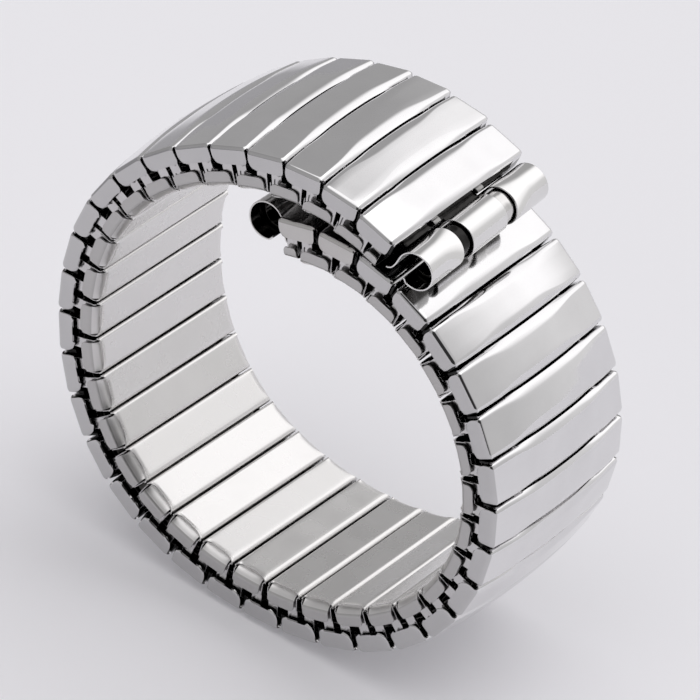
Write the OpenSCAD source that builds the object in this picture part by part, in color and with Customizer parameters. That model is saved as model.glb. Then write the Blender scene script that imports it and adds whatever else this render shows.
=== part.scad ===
// Stretch watch band: a chain of sprung steel links that lies curled on its edge.
// Outer links with crowned caps and wrist-side inner links overlap like two rows of bricks,
// and small U-shaped bows join each outer link to the inner links under its two halves.
// Z is up, Y runs along the axis of the curl, and the origin is at the middle of the bottom.
// Each link is drawn in its own frame: X along the band, Y across it, Z away from the wrist,
// with Z = 0 where the outer and inner rows meet.

/* [Band] */
// distance from one outer link to the next, where the two rows meet
pitch = 3.9; // [3.8:0.05:4]
// width over the folded ends
width = 18.8; // [18.6:0.1:19]

/* [Curl] */
// bend in degrees between neighbouring outer links, at stations along the band
bend_at = [[1, 11.3], [5, 8.6], [9, 11.4], [12, 8.6], [16, 13],
    [20, 6.9], [24, 12.3], [28, 12.7], [32, 11.3], [36, 13.5]];
// sideways lie of the curl: rise at the free end
side_rise = 17.2; // [17:0.1:17.5]
// sideways lie of the curl: how it levels off
side_level = -31.5; // [-32:0.1:-31]
// sideways lie of the curl: how it ends
side_end = 17; // [16.5:0.1:17.5]

/* [Outer link] */
// half length of a cap along the band
cap_half = 1.88; // [1.8:0.01:1.9]
// height of the crown of the cap
crown_z = 2.4; // [2.3:0.05:2.6]
// radius of the crown across the band
crown_r = 66; // [60:0.5:80]
// half length of the flat on top, between the two long facets
top_half = 1.1; // [0.9:0.05:1.3]
// height of the cap's long edges
edge_z = 1.95; // [1.75:0.05:2]
// radius of the fold at each end
fold_r = 0.4; // [0.35:0.05:0.5]
// sheet thickness of the cap
cap_th = 0.25; // [0.2:0.05:0.3]
// thickness of the folded ends
flap_th = 0.2; // [0.18:0.01:0.22]
// lowest point of the outer folded end
flap_z = 0.32; // [0.3:0.02:0.4]
// half length of the folded end
flap_half = 1.72; // [1.65:0.01:1.8]
// radius of its corners
flap_r = 0.65; // [0.4:0.05:0.7]
// lowest point of the cap's long side walls
wall_z = 1; // [0.9:0.05:1.1]

/* [Inner link] */
// half length of an inner shell along the band
shell_half = 1.6; // [1.58:0.01:1.64]
// height of the wrist face
wrist_z = -2.15; // [-2.2:0.05:-2]
// radius of the wrist face's long edges
wrist_r = 0.35; // [0.3:0.05:0.5]
// radius of the roll at each end of the wrist face
roll_r = 0.6; // [0.4:0.05:0.8]
// sheet thickness of the shell
shell_th = 0.2; // [0.15:0.05:0.25]
// highest point of the inner folded end
inner_flap_z = -0.58; // [-0.6:0.02:-0.5]
// height of its roof, which faces the outer link
roof_z = -0.3; // [-0.35:0.01:-0.3]
// half length of its folded end
inner_flap_half = 1.42; // [1.35:0.01:1.5]

/* [Sleeve] */
// half length of the sleeve under a cap, along the band
sleeve_half = 1.6; // [1.55:0.01:1.6]
// half length of the sleeve across the band
sleeve_y = 8.2; // [8:0.05:8.3]
// height of its underside
sleeve_low = 0.2; // [0.18:0.01:0.22]
// height of its top
sleeve_top = 1.5; // [1.45:0.01:1.5]
// its sheet thickness
sleeve_th = 0.15; // [0.13:0.01:0.16]

/* [Bows and springs] */
// distance from the middle of a link to the side plate of a bow
bow_in = 0.23; // [0.2:0.01:0.3]
// the same to its far edge
bow_out = 1.25; // [1.2:0.01:1.3]
// gap between a bow's side plate and the folded end outside it
bow_gap = 0.23; // [0.23:0.01:0.3]
// thickness of a bow
bow_th = 0.3; // [0.25:0.05:0.3]
// distance from the middle of a link to the near edge of a bow's outer arm
arm_in = 0.45; // [0.4:0.05:0.5]
// the same to its far edge
arm_out = 0.95; // [0.9:0.05:1]
// half the gap between the two bows' arms that meet in an inner link
hook_gap = 0.27; // [0.25:0.01:0.3]
// width of such an arm
hook_width = 0.26; // [0.24:0.01:0.3]
// thickness of a bow's arms
arm_th = 0.25; // [0.22:0.01:0.26]
// lowest point of the arm in the inner link
inner_arm_z = -1; // [-1:0.01:-0.97]
// gap of an arm to the sleeve and to the leaf spring
slack = 0.07; // [0.05:0.01:0.08]
// thickness of a leaf spring
leaf_th = 0.12; // [0.1:0.01:0.13]
// half length of a leaf spring along the band
leaf_half = 1.1; // [0.9:0.05:1.1]

/* [End fittings] */
// outer end tube's middle, seen from the end link: distance along the band and height
outer_tube = [4.36, 0.18];
// inner end tube's middle, seen from its end link
inner_tube = [3.72, 0.81];
// outside radius of the rolled end tubes
tube_r = 1.8; // [1.7:0.05:1.9]
// bore radius of the sliding tubes
tube_bore_r = 1.55; // [1.5:0.01:1.6]
// outside radius of the liner tube
liner_r = 1.5; // [1.45:0.01:1.55]
// bore radius of the liner tube, which takes the spring bar
liner_bore_r = 1.25; // [1.2:0.01:1.3]
// length of the liner tube
liner_len = 13.6; // [12:0.1:14]
// length of the fixed middle tube
middle_len = 5; // [4.8:0.1:5.2]
// gap between the middle tube and each sliding tube
tube_gap = 1.45; // [1.4:0.05:1.5]
// thickness of the plate that joins a middle tube to its end link
plate_th = 0.2; // [0.15:0.05:0.25]
// length of a sliding tube
slide_len = 4.65; // [4.5:0.05:4.8]

/* [Hidden] */
$fn = 32;
outer_count = 37;
// the band lies on this link and the next one
ground_link = 20;
// moves the curl so that the middle of its box is over the origin
centring = [0.134, -1.685];
// place of the knuckle between the two links on the ground, with the caps' edges on the ground
rest_bend = lookup(ground_link, bend_at) / 2;
place = [centring[0], centring[1], crown_z * cos(rest_bend) - (pitch / 2 - top_half) * sin(rest_bend)];
flap_in = width / 2 - flap_th;
// inner face of a bow's side plate
bow_y = flap_in - bow_gap - bow_th;
fold_y = width / 2 - fold_r;
fold_z = crown_z - (crown_r - sqrt(crown_r * crown_r - fold_y * fold_y)) - fold_r;
// slope of the long facets, and where the cavity under them starts
facet = [top_half - cap_half, crown_z - edge_z];
facet_n = [facet[1], -facet[0]] / norm(facet);
wall_in = cap_half - cap_th;
cavity_edge_z = edge_z - (cap_th - (cap_half - wall_in) * facet_n[0]) / facet_n[1];
cavity_top_half = cap_half - (cap_th + (crown_z - cap_th - edge_z) * facet_n[1]) / facet_n[0];
outer_arm_z = sleeve_low + sleeve_th + slack;
outer_leaf_z = outer_arm_z + arm_th + slack;
inner_leaf_z = inner_arm_z - slack - leaf_th;
leaf_lift = 0.03;
bow_low = inner_arm_z - 0.02;
bow_top = outer_arm_z + arm_th + 0.23;
arm_y = sleeve_y - 1;
// plate of an end fitting: its height in the end link's sleeve, its half width, and the face
// of its hook, measured from the middle of the end link
plate_z = outer_leaf_z;
plate_half = sleeve_y - 0.6;
hook_x = leaf_half + 0.1;
// half inner link: near and far ends, underside, and sheet thickness
half_th = 0.15;
half_in = 0.12;
half_out = bow_out + half_th - 0.02;
half_low = inner_arm_z - 0.5;
function tube_at(i) = i == 1 ? outer_tube : inner_tube;

function bend(j) = lookup(j, bend_at);
function dir(i) = i == ground_link ? -rest_bend
    : i > ground_link ? dir(i - 1) + bend(i - 1)
    : dir(i + 1) - bend(i);
function along(a) = [cos(a), sin(a)];
function middle(i) = i == ground_link ? -pitch / 2 * along(dir(i))
    : i > ground_link ? middle(i - 1) + pitch / 2 * (along(dir(i - 1)) + along(dir(i)))
    : middle(i + 1) - pitch / 2 * (along(dir(i + 1)) + along(dir(i)));
function knuckle(j) = middle(j) + pitch / 2 * along(dir(j));
function side(i) = side_rise * i / outer_count + side_level * pow(i / outer_count, 2)
    + side_end * pow(i / outer_count, 3);

// puts a piece that is drawn in an outer link's frame where that link lies
module at_link(i) {
    translate(place + [middle(i)[0], side(i), middle(i)[1]])
        rotate([0, -dir(i), 0]) rotate([180, 0, 0]) children();
}

// the same for an inner link, which lies over the knuckle between outer links j and j + 1
module at_knuckle(j) {
    translate(place + [knuckle(j)[0], (side(j) + side(j + 1)) / 2, knuckle(j)[1]])
        rotate([0, -(dir(j) + dir(j + 1)) / 2, 0]) rotate([180, 0, 0]) children();
}

// a flat shape drawn as [along, up], given a length across the band
module across(len) {
    rotate([90, 0, 0]) linear_extrude(height = len, center = true) children();
}

// a flat shape drawn as [across, up], given a length along the band
module lengthwise(len) {
    rotate([90, 0, 90]) linear_extrude(height = len, center = true) children();
}

module box(x0, x1, y0, y1, z0, z1) {
    translate([x0, y0, z0]) cube([x1 - x0, y1 - y0, z1 - z0]);
}

// what is cut away to round a corner of radius r at [x, z], opening towards sx, sz
module corner_cut(x, z, r, sx, sz) {
    across(2 * width) difference() {
        translate([x - (sx > 0 ? r : 0), z - (sz > 0 ? r : 0)]) square([r, r]);
        translate([x - sx * r, z - sz * r]) circle(r);
    }
}

module crown_section(drop, half_y) {
    intersection() {
        translate([0, crown_z - crown_r]) circle(crown_r - drop, $fn = 128);
        translate([-half_y, -crown_z]) square([2 * half_y, 3 * crown_z]);
    }
}

// crowned cap, folded down at both ends
module cap() {
    difference() {
        intersection() {
            across(width) polygon([
                [-cap_half, flap_z], [-cap_half, edge_z], [-top_half, crown_z],
                [top_half, crown_z], [cap_half, edge_z], [cap_half, flap_z]]);
            lengthwise(4 * cap_half) union() {
                crown_section(0, fold_y);
                translate([-width / 2, -crown_z]) square([width, crown_z + fold_z]);
                for (s = [-1, 1]) translate([s * fold_y, fold_z]) circle(fold_r);
            }
        }
        intersection() {
            across(2 * flap_in) polygon([
                [-wall_in, 0], [-wall_in, cavity_edge_z], [-cavity_top_half, crown_z - cap_th],
                [cavity_top_half, crown_z - cap_th], [wall_in, cavity_edge_z], [wall_in, 0]]);
            lengthwise(4 * cap_half) crown_section(cap_th, flap_in);
        }
        for (s = [-1, 1]) {
            scale([s, 1, 1]) box(wall_in - cap_th / 2, pitch, -flap_in, flap_in, 0, wall_z);
            scale([s, 1, 1]) box(flap_half, pitch, -width, width, 0, wall_z);
            corner_cut(s * flap_half, flap_z, flap_r, s, -1);
        }
    }
}

// rectangular sleeve under the cap; open_side cuts the slot for an end fitting
module sleeve(open_side = 0) {
    inside = sleeve_half - sleeve_th;
    difference() {
        box(-sleeve_half, sleeve_half, -sleeve_y, sleeve_y, sleeve_low, sleeve_top);
        box(-inside, inside, -width, width, sleeve_low + sleeve_th, sleeve_top - sleeve_th);
        if (open_side != 0)
            translate([open_side * sleeve_half, 0, 0]) box(-2 * sleeve_th, 2 * sleeve_th,
                -plate_half - 0.2, plate_half + 0.2, plate_z - 0.06, plate_z + plate_th + 0.06);
    }
}

// leaf spring: flat ends at z0 that press on the bows, and a middle that lifts to z1
module leaf(z0, z1) {
    end_y = sleeve_y - 0.2;
    flat_y = 0.75 * sleeve_y;
    lifted_y = 0.44 * sleeve_y;
    lengthwise(2 * leaf_half) polygon([
        [-end_y, z0], [-flat_y, z0], [-lifted_y, z1], [lifted_y, z1], [flat_y, z0], [end_y, z0],
        [end_y, z0 + leaf_th], [flat_y, z0 + leaf_th], [lifted_y, z1 + leaf_th],
        [-lifted_y, z1 + leaf_th], [-flat_y, z0 + leaf_th], [-end_y, z0 + leaf_th]]);
}

// bow on the +X, +Y side: an arm in the outer sleeve, a side plate, and an arm in the inner link;
// a straight one has both arms in its own link's length
module bow(straight = false) {
    near = straight ? arm_in + 0.1 : pitch / 2 - hook_gap - hook_width;
    arm = [near, near + hook_width];
    far = max(arm[1], bow_out);
    shoulder_z = inner_arm_z + arm_th + 0.2;
    union() {
        box(arm_in, arm_out, arm_y, bow_y + bow_th / 2, outer_arm_z, outer_arm_z + arm_th);
        translate([0, bow_y + bow_th / 2, 0]) across(bow_th) polygon([
            [bow_in, bow_low], [bow_in, bow_top], [bow_out, bow_top], [bow_out, shoulder_z + 0.05],
            [far, shoulder_z], [far, bow_low]]);
        box(arm[0], arm[1], arm_y, bow_y + bow_th / 2, inner_arm_z, inner_arm_z + arm_th);
    }
}

// the four bows of an outer link; end_side is the side with no full inner link next to it
module bows(end_side = 0) {
    for (sx = [-1, 1], sy = [-1, 1])
        scale([sx, sy, 1]) bow(sx == end_side);
}

// box section with rolled ends; its side walls stop at the bows, which stand inside its flaps
module inner_shell() {
    wall = shell_half - shell_th;
    open_z = wrist_z + wrist_r;
    difference() {
        intersection() {
            across(width) difference() {
                translate([-shell_half, wrist_z]) square([2 * shell_half, roof_z - wrist_z]);
                for (s = [-1, 1]) difference() {
                    translate([s * (shell_half - wrist_r / 2), wrist_z + wrist_r / 2])
                        square([wrist_r, wrist_r], center = true);
                    translate([s * (shell_half - wrist_r), open_z]) circle(wrist_r);
                }
            }
            lengthwise(4 * shell_half) union() {
                translate([-width / 2, wrist_z + roll_r]) square([width, pitch]);
                translate([-width / 2 + roll_r, wrist_z]) square([width - 2 * roll_r, pitch / 2]);
                for (s = [-1, 1])
                    translate([s * (width / 2 - roll_r), wrist_z + roll_r]) circle(roll_r);
            }
        }
        box(-wall, wall, -flap_in, flap_in, wrist_z + shell_th, roof_z - shell_th);
        for (sy = [-1, 1]) scale([1, sy, 1]) {
            box(-pitch, pitch, sleeve_y, flap_in, open_z, 0);
            box(-pitch, pitch, sleeve_y, width, inner_flap_z, 0);
            for (sx = [-1, 1]) {
                scale([sx, 1, 1])
                    box(inner_flap_half, pitch, flap_in - flap_th, width, open_z, 0);
                translate([0, flap_in + width - flap_th, 0])
                    corner_cut(sx * inner_flap_half, inner_flap_z, wrist_r, sx, 1);
            }
        }
    }
}

module inner_parts() {
    color([0.78, 0.77, 0.77]) inner_shell();
    color([0.6, 0.6, 0.62]) leaf(inner_leaf_z, wrist_z + shell_th + leaf_lift);
}

// half-length inner link under the outermost bows, drawn on the +X side
module half_shell() {
    difference() {
        union() {
            box(half_in, half_out, -sleeve_y, sleeve_y, half_low, roof_z);
            box(half_in, half_out, -width / 2, width / 2, half_low, half_low + 0.2);
            for (s = [-1, 1]) translate([0, s * (flap_in + flap_th / 2), 0])
                box(half_in, half_out, -flap_th / 2, flap_th / 2, half_low, inner_flap_z);
        }
        box(half_in + half_th, half_out - half_th, -flap_in, flap_in, half_low + 0.2, roof_z - half_th);
    }
}

// an outer link with everything that is fixed to it
module link(i) {
    end_side = i == 1 ? -1 : i == outer_count ? 1 : 0;
    at_link(i) {
        color([0.72, 0.72, 0.73]) cap();
        color([0.62, 0.62, 0.64]) sleeve(end_side);
        color([0.6, 0.6, 0.62]) leaf(outer_leaf_z, sleeve_top - sleeve_th - leaf_th - leaf_lift);
        color([0.66, 0.66, 0.68]) bows(end_side);
        if (end_side != 0) color([0.78, 0.77, 0.77]) scale([end_side, 1, 1]) half_shell();
    }
    if (i < outer_count && len([for (j = split_links) if (j == i) j]) == 0)
        at_knuckle(i) inner_parts();
}

// inner links that turn on their own
split_links = [2, 4, 6, 9, 11, 14, 16, 18, 21, 23, 26, 28, 30, 33, 35];
module inner_link(j) {
    at_knuckle(j) inner_parts();
}

// puts a piece drawn with the band on its +X side at an end of the band
module at_end(i) {
    at_link(i) scale([i == 1 ? 1 : -1, 1, 1])
        translate([-tube_at(i)[0], 0, tube_at(i)[1]]) children();
}

module tube(r, bore, y0, y1) {
    translate([0, y1, 0]) rotate([90, 0, 0]) difference() {
        cylinder(h = y1 - y0, r = r, $fn = 64);
        translate([0, 0, -r]) cylinder(h = y1 - y0 + 2 * r, r = bore, $fn = 64);
    }
}

// middle tube with the plate that hooks into the end link's sleeve
module end_connector(i) {
    hook = tube_at(i)[0] - hook_x;
    low = plate_z - tube_at(i)[1];
    neck = middle_len / 2 - 0.1;
    color([0.8, 0.8, 0.81]) at_end(i) difference() {
        union() {
            translate([0, middle_len / 2, 0]) rotate([90, 0, 0])
                cylinder(h = middle_len, r = tube_r, $fn = 64);
            box(0, hook, -neck, neck, low, low + plate_th);
            box(tube_r + plate_th / 2, hook, -plate_half, plate_half, low, low + plate_th);
            box(hook - plate_th, hook, -plate_half, plate_half, low, low + 2.5 * plate_th);
        }
        translate([0, width, 0]) rotate([90, 0, 0])
            cylinder(h = 2 * width, r = liner_r + 0.02, $fn = 64);
    }
}

module end_liner(i) {
    color([0.5, 0.5, 0.52]) at_end(i) tube(liner_r, liner_bore_r, -liner_len / 2, liner_len / 2);
}

// sliding tube; hand is -1 for the near one and 1 for the far one
module end_tube(i, hand) {
    y0 = middle_len / 2 + tube_gap;
    color([0.8, 0.8, 0.81]) at_end(i) scale([1, -hand, 1])
        tube(tube_r, tube_bore_r, y0, y0 + slide_len);
}

link(1);  // link_01
link(2);  // link_02
link(3);  // link_03
link(4);  // link_04
link(5);  // link_05
link(6);  // link_06
link(7);  // link_07
link(8);  // link_08
link(9);  // link_09
link(10);  // link_10
link(11);  // link_11
link(12);  // link_12
link(13);  // link_13
link(14);  // link_14
link(15);  // link_15
link(16);  // link_16
link(17);  // link_17
link(18);  // link_18
link(19);  // link_19
link(20);  // link_20
link(21);  // link_21
link(22);  // link_22
link(23);  // link_23
link(24);  // link_24
link(25);  // link_25
link(26);  // link_26
link(27);  // link_27
link(28);  // link_28
link(29);  // link_29
link(30);  // link_30
link(31);  // link_31
link(32);  // link_32
link(33);  // link_33
link(34);  // link_34
link(35);  // link_35
link(36);  // link_36
link(37);  // link_37
inner_link(2);  // inner_link_02
inner_link(4);  // inner_link_04
inner_link(6);  // inner_link_06
inner_link(9);  // inner_link_09
inner_link(11);  // inner_link_11
inner_link(14);  // inner_link_14
inner_link(16);  // inner_link_16
inner_link(18);  // inner_link_18
inner_link(21);  // inner_link_21
inner_link(23);  // inner_link_23
inner_link(26);  // inner_link_26
inner_link(28);  // inner_link_28
inner_link(30);  // inner_link_30
inner_link(33);  // inner_link_33
inner_link(35);  // inner_link_35
end_connector(1);  // outer_end_connector
end_liner(1);  // outer_end_liner
end_tube(1, -1);  // outer_end_tube_near
end_tube(1, 1);  // outer_end_tube_far
end_connector(37);  // inner_end_connector
end_liner(37);  // inner_end_liner
end_tube(37, -1);  // inner_end_tube_near
end_tube(37, 1);  // inner_end_tube_far
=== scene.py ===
"""Stretch watch band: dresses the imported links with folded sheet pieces, steel and studio light."""
import math

import bpy
from mathutils import Matrix, Vector


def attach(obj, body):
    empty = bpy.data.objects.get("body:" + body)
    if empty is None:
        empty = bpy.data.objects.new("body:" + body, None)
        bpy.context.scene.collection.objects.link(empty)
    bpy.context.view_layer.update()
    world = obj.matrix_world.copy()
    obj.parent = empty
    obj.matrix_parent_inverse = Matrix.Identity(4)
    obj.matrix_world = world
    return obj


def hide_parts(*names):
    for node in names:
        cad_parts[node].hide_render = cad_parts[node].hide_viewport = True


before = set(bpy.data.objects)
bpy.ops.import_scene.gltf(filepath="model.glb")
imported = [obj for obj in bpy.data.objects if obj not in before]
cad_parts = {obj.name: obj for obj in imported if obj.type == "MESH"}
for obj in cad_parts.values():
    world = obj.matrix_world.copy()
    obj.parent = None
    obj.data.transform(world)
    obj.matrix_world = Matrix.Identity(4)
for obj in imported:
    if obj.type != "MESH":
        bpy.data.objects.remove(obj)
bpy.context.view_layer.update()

# Driving dimensions in millimetres and degrees. The lie of the links is the solids' own, but for a
# slight turn and twist; sheets are thinner and edges tighter than theirs.
MM = 0.001
OUTER_COUNT = 37
PITCH = 3.9
WIDTH = 18.8
GROUND_LINK = 20
BEND_AT = [(1, 11.3), (5, 8.6), (9, 11.4), (12, 8.6), (16, 13), (20, 6.9), (24, 12.3),
           (28, 12.7), (32, 11.3), (36, 13.5)]
SIDE_LIE = (17.2, -31.5, 17)
CENTRING = (0.134, -1.685)
LINK_TURN = math.radians(0.84)
TWIST_PER_LINK = math.radians(0.044)
SPLIT_LINKS = [2, 4, 6, 9, 11, 14, 16, 18, 21, 23, 26, 28, 30, 33, 35]

CAP_HALF = 1.84
CAP_TH = 0.2
CROWN_Z = 2.4
CROWN_R = 66
TOP_HALF = 1.1
FOLD_R = 0.26
FOLD_Y = WIDTH / 2 - FOLD_R
FLAP_Z = 0.32
FLAP_HALF = 1.69
FLAP_R_LEFT = 0.45
FLAP_R_RIGHT = 0.85
WALL_Z = 0.35

SHELL_HALF = 1.58
SHELL_TH = 0.12
WRIST_Z = -2.15
ROOF_Z = -0.3
INNER_FLAP_Z = -0.58
INNER_FLAP_HALF = 1.37

SLEEVE_HALF = 1.6
SLEEVE_Y = 8.2
SLEEVE_LOW = 0.2
SLEEVE_TOP = 1.5
SLEEVE_TH = 0.15
SLEEVE_R = 0.12

BOW_IN = 0.23
BOW_OUT = 1.25
BOW_Y = 8.87
BOW_TH = 0.25
BOW_TOP = 0.9
BOW_LOW = -1.55
ARM_TH = 0.25
LEAF_TH = 0.12
LEAF_HALF = 1.1

TUBE_R = 1.8
TUBE_WALL = 0.16
LINER_R = 1.5
LINER_WALL = 0.2
LINER_LEN = 13.6
MIDDLE_LEN = 5
TUBE_GAP = 1.45
SLIDE_LEN = 4.65
OUTER_TUBE = (4.36, 0.18)
INNER_TUBE = (3.72, 0.81)


# The curl. Each link has its own frame: X along the band, Y across it, Z away from the wrist.

def bend(j):
    """Bend in degrees between outer links j and j + 1."""
    for (a, low), (b, high) in zip(BEND_AT, BEND_AT[1:]):
        if a <= j <= b:
            return low + (high - low) * (j - a) / (b - a)
    return BEND_AT[-1][1]


REST_BEND = bend(GROUND_LINK) / 2


def heading(i):
    """Angle of outer link i in the plane of the curl."""
    if i <= GROUND_LINK:
        return -REST_BEND - sum(bend(k) for k in range(i, GROUND_LINK))
    return -REST_BEND + sum(bend(k) for k in range(GROUND_LINK, i))


def along(angle):
    """Unit vector in the plane of the curl."""
    return Vector((math.cos(math.radians(angle)), math.sin(math.radians(angle))))


def middle(i):
    """Middle of outer link i in the plane of the curl."""
    spot = -PITCH / 2 * along(heading(GROUND_LINK))
    step = 1 if i > GROUND_LINK else -1
    for k in range(GROUND_LINK, i, step):
        spot += step * PITCH / 2 * (along(heading(k)) + along(heading(k + step)))
    return spot


def smooth(value, low, high):
    """Smooth rise from 0 at low to 1 at high."""
    share = min(1, max(0, (value - low) / (high - low)))
    return share * share * (3 - 2 * share)


def mix(ends, share):
    """Value between the two ends."""
    return ends[0] + (ends[1] - ends[0]) * share


def sideways(i):
    """How far link i lies to the side in the skewed curl."""
    share = i / OUTER_COUNT
    return sum(factor * share ** (power + 1) for power, factor in enumerate(SIDE_LIE))


REST_LIFT = (CROWN_Z * math.cos(math.radians(REST_BEND))
             - (PITCH / 2 - TOP_HALF) * math.sin(math.radians(REST_BEND)))


def frame_matrix(spot, side, angle, i):
    """Frame of a link: the band lies slightly skewed, and twists slowly along its length."""
    c = math.cos(math.radians(angle))
    s = math.sin(math.radians(angle))
    x = (CENTRING[0] + spot[0]) * MM
    y = (CENTRING[1] + side) * MM
    z = (REST_LIFT + spot[1]) * MM
    square = Matrix(((c, 0, s, x), (0, -1, 0, y), (s, 0, -c, z), (0, 0, 0, 1)))
    twist = TWIST_PER_LINK * (i - GROUND_LINK)
    return square @ Matrix.Rotation(LINK_TURN, 4, "Z") @ Matrix.Rotation(twist, 4, "X")


def link_matrix(i):
    return frame_matrix(middle(i), sideways(i), heading(i), i)


def knuckle_matrix(j):
    spot = middle(j) + PITCH / 2 * along(heading(j))
    return frame_matrix(spot, (sideways(j) + sideways(j + 1)) / 2, (heading(j) + heading(j + 1)) / 2, j + 0.5)


# Mesh building, in millimetres until the mesh is made.

class Shape:
    """Points and faces gathered for one mesh."""

    def __init__(self):
        self.points = []
        self.faces = []

    def grid(self, rows, keep=lambda r, c: True, closed=False):
        """A sheet through rows of equally many points; keep(row, column) says which faces stay."""
        start = len(self.points)
        count = len(rows[0])
        for row in rows:
            self.points.extend(row)
        last = count if closed else count - 1
        for r in range(len(rows) - 1):
            for c in range(last):
                if keep(r, c):
                    a = start + r * count + c
                    b = start + r * count + (c + 1) % count
                    self.faces.append((a, b, b + count, a + count))

    def prism(self, outline, y0, y1):
        """A plate: an outline of (x, z) points from y0 to y1."""
        start = len(self.points)
        count = len(outline)
        self.points.extend((x, y0, z) for x, z in outline)
        self.points.extend((x, y1, z) for x, z in outline)
        self.faces.append(tuple(start + k for k in range(count)))
        self.faces.append(tuple(start + count + k for k in reversed(range(count))))
        for k in range(count):
            a = start + k
            b = start + (k + 1) % count
            self.faces.append((b, a, a + count, b + count))

    def mirrored(self, sx, sy):
        other = Shape()
        other.points = [(sx * x, sy * y, z) for x, y, z in self.points]
        other.faces = self.faces if sx * sy > 0 else [tuple(reversed(face)) for face in self.faces]
        return other


def rounded(outline, radii, steps=5):
    """The outline with each corner turned into an arc of its radius."""
    result = []
    count = len(outline)
    for k, corner in enumerate(outline):
        here = Vector(corner)
        before = Vector(outline[k - 1]) - here
        after = Vector(outline[(k + 1) % count]) - here
        radius = radii[k]
        if radius <= 0:
            result.append(tuple(here))
            continue
        half = before.angle(after) / 2
        reach = min(radius / math.tan(half), 0.49 * before.length, 0.49 * after.length)
        radius = reach * math.tan(half)
        start = here + before.normalized() * reach
        end = here + after.normalized() * reach
        centre = here + (before.normalized() + after.normalized()).normalized() * radius / math.sin(half)
        for s in range(steps + 1):
            spot = (start - centre).lerp(end - centre, s / steps).normalized() * radius + centre
            result.append(tuple(spot))
    return result


def mesh_of(name, shape, material, thickness=0, bevel=0, segments=2):
    """One finished mesh: the sheet is thickened inwards and its edges are eased."""
    raw = bpy.data.meshes.new(name + "_raw")
    raw.from_pydata([Vector(p) * MM for p in shape.points], [], shape.faces)
    raw.polygons.foreach_set("use_smooth", [True] * len(raw.polygons))
    raw.update()
    former = bpy.data.objects.new(name + "_former", raw)
    bpy.context.scene.collection.objects.link(former)
    if thickness:
        solid = former.modifiers.new("sheet", "SOLIDIFY")
        solid.thickness = thickness * MM
        solid.offset = -1
        solid.use_even_offset = True
    if bevel:
        ease = former.modifiers.new("edges", "BEVEL")
        ease.width = bevel * MM
        ease.segments = segments
        ease.limit_method = "ANGLE"
        ease.angle_limit = math.radians(32)
    normals = former.modifiers.new("normals", "WEIGHTED_NORMAL")
    normals.keep_sharp = True
    depsgraph = bpy.context.evaluated_depsgraph_get()
    mesh = bpy.data.meshes.new_from_object(former.evaluated_get(depsgraph))
    mesh.name = name
    mesh.materials.clear()
    mesh.materials.append(material)
    bpy.data.objects.remove(former)
    bpy.data.meshes.remove(raw)
    return mesh


def piece(name, mesh, matrix, body, node):
    """Puts a mesh in the scene as a named piece that rides on a body and stands for its node."""
    obj = bpy.data.objects.new(name, mesh)
    bpy.context.scene.collection.objects.link(obj)
    obj.matrix_world = matrix
    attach(obj, body)
    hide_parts(node)
    return obj


# Materials.

def new_material(name):
    material = bpy.data.materials.new(name)
    material.use_nodes = True
    nodes = material.node_tree.nodes
    return material, nodes, material.node_tree.links, nodes["Principled BSDF"]


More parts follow.
